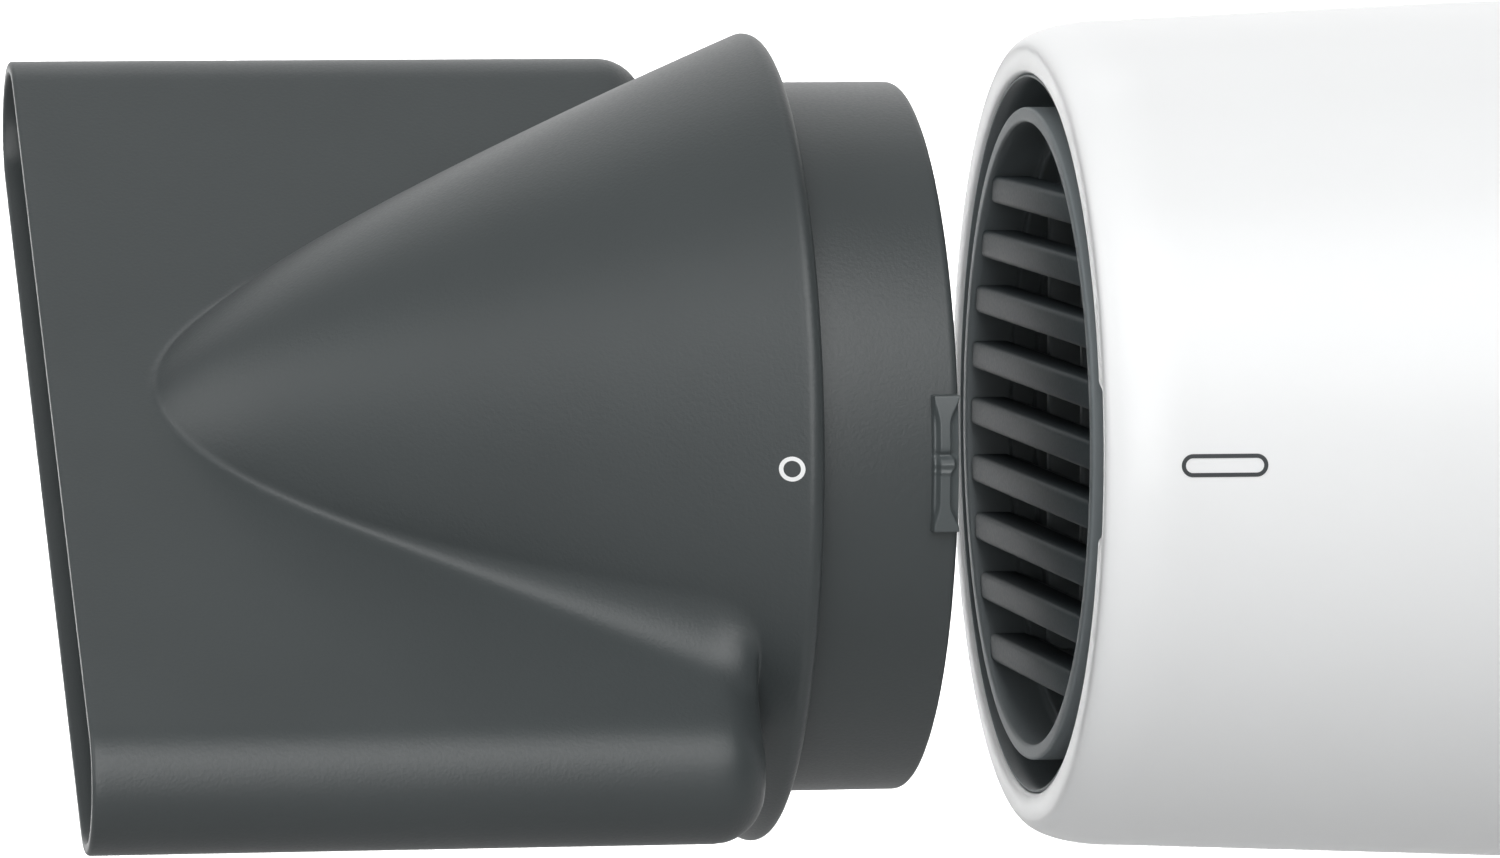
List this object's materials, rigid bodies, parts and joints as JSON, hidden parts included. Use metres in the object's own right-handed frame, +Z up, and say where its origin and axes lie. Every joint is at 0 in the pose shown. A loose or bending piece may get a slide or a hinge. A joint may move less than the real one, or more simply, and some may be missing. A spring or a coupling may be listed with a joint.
{
  "type": "hair dryer",
  "caption": "Hand-held hair dryer with a white barrel and handle, a finned outlet grille and a pull-off concentrator nozzle with a flat slot that turns.",
  "frame": {"origin": "middle of the grip, on the handle's axis", "axes": "+X from the outlet to the rear along the barrel, +Z up the handle to the barrel"},
  "size_m": [0.2524, 0.0772, 0.2281],
  "materials": {
    "slate_plastic": "satin, fine moulded grain",
    "white_gloss": "high gloss",
    "white_satin": "satin",
    "white_print": "matt",
    "slate_print": "matt",
    "mica": "flaky sheet",
    "resistance_wire": "drawn wire",
    "ceramic": "glazed",
    "steel": "satin",
    "copper_winding": "lacquered copper wire",
    "magnet": "sintered",
    "fan_plastic": "satin",
    "brass": "machined",
    "black_rubber": "matt",
    "circuit_board": "solder mask",
    "light_guide": "clear",
    "terminal_plastic": "matt",
    "wire_insulation": "satin"
  },
  "bodies": {
    "housing": {"barrel_shell": "white_gloss", "barrel_mark": "slate_print", "outlet_sleeve": "slate_plastic", "outlet_grille": "slate_plastic", "heater_tube": "mica", "heater_boards": "mica", "heater_coils": "resistance_wire", "thermostat": "steel", "thermal_fuse": "steel", "ion_emitter": "ceramic", "fan_case": "slate_plastic", "fan_case_gasket": "black_rubber", "motor_mount": "slate_plastic", "motor_can": "steel", "stator_coils": "copper_winding", "front_bearing": "steel", "rear_bearing": "steel", "rear_ring": "slate_plastic", "handle_left": "white_gloss", "handle_right": "white_gloss", "control_panel": "slate_plastic", "cool_button_spring": "steel", "switch_board": "circuit_board", "status_lights": "light_guide", "power_board": "circuit_board", "terminal_block": "terminal_plastic", "wiring": "wire_insulation", "end_cap": "slate_plastic", "end_cap_screws": "steel", "cord_gland": "black_rubber", "hang_loop": "black_rubber"},
    "collar": {"nozzle_collar": "slate_plastic"},
    "nozzle": {"nozzle_shell": "slate_plastic", "nozzle_mark": "white_print"},
    "rotor": {"motor_shaft": "steel", "rotor_magnet": "magnet", "impeller": "fan_plastic", "impeller_nut": "brass"},
    "cover": {"rear_cover": "slate_plastic", "filter_mesh": "steel"},
    "speed_slider": {"speed_slider": "white_satin"},
    "heat_slider": {"heat_slider": "white_satin"},
    "cool_button": {"cool_button": "slate_plastic"}
  },
  "joints": [
    {"name": "nozzle_pull", "type": "slide", "parent": "housing", "child": "collar", "axis": [-1, 0, 0], "range_m": [-0.023, 0.03]},
    {"name": "nozzle_turn", "type": "hinge", "parent": "collar", "child": "nozzle", "pos_m": [-0.125, 0, 0.078], "axis": [-1, 0, 0], "continuous": true},
    {"name": "fan_spin", "type": "hinge", "parent": "housing", "child": "rotor", "pos_m": [0.03, 0, 0.078], "axis": [1, 0, 0], "continuous": true},
    {"name": "cover_pull", "type": "slide", "parent": "housing", "child": "cover", "axis": [1, 0, 0], "range_m": [0, 0.02]},
    {"name": "speed_slide", "type": "slide", "parent": "housing", "child": "speed_slider", "axis": [0, 0, 1], "range_m": [0, 0.008]},
    {"name": "heat_slide", "type": "slide", "parent": "housing", "child": "heat_slider", "axis": [0, 0, 1], "range_m": [0, 0.008]},
    {"name": "cool_press", "type": "slide", "parent": "housing", "child": "cool_button", "axis": [-1, 0, 0], "range_m": [0, 0.0012], "stiffness_N_per_m": 400, "deforming": ["cool_button_spring"]}
  ]
}
